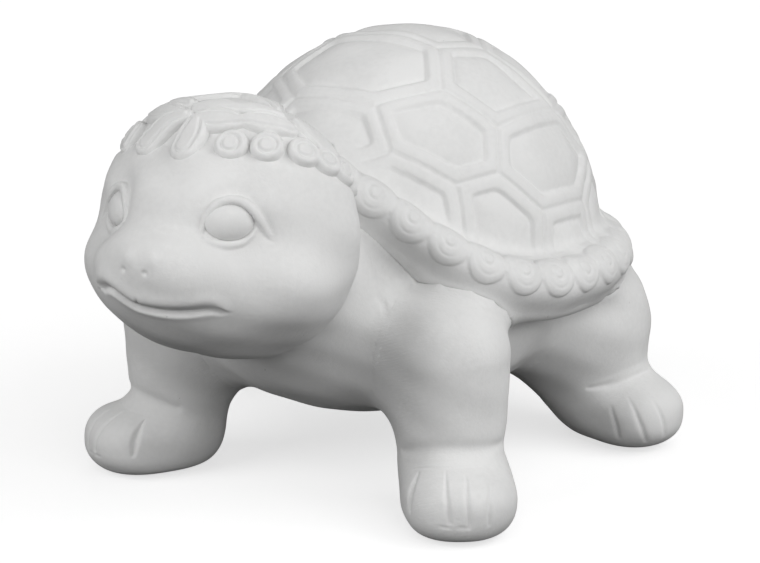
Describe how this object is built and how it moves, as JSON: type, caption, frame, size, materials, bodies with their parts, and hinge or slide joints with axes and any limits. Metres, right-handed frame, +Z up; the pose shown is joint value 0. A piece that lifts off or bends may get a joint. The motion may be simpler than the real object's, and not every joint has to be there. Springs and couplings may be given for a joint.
{
  "type": "turtle figurine",
  "caption": "Free-standing cast turtle figurine with a domed scute-patterned shell, a rolled rim of ring bosses and a flower garland on its raised head.",
  "frame": {"origin": "centre of the footprint's box on the ground the soles stand on", "axes": "+Z up, -Y the way the turtle looks, +X its left side"},
  "size_m": [0.2392, 0.3152, 0.1906],
  "materials": {
    "plaster": "matte"
  },
  "bodies": {
    "root": {"carapace": "plaster", "marginal_rim": "plaster", "body": "plaster", "head": "plaster", "garland": "plaster", "left_eye": "plaster", "right_eye": "plaster", "front_left_leg": "plaster", "front_right_leg": "plaster", "rear_left_leg": "plaster", "rear_right_leg": "plaster", "tail": "plaster"}
  },
  "joints": []
}
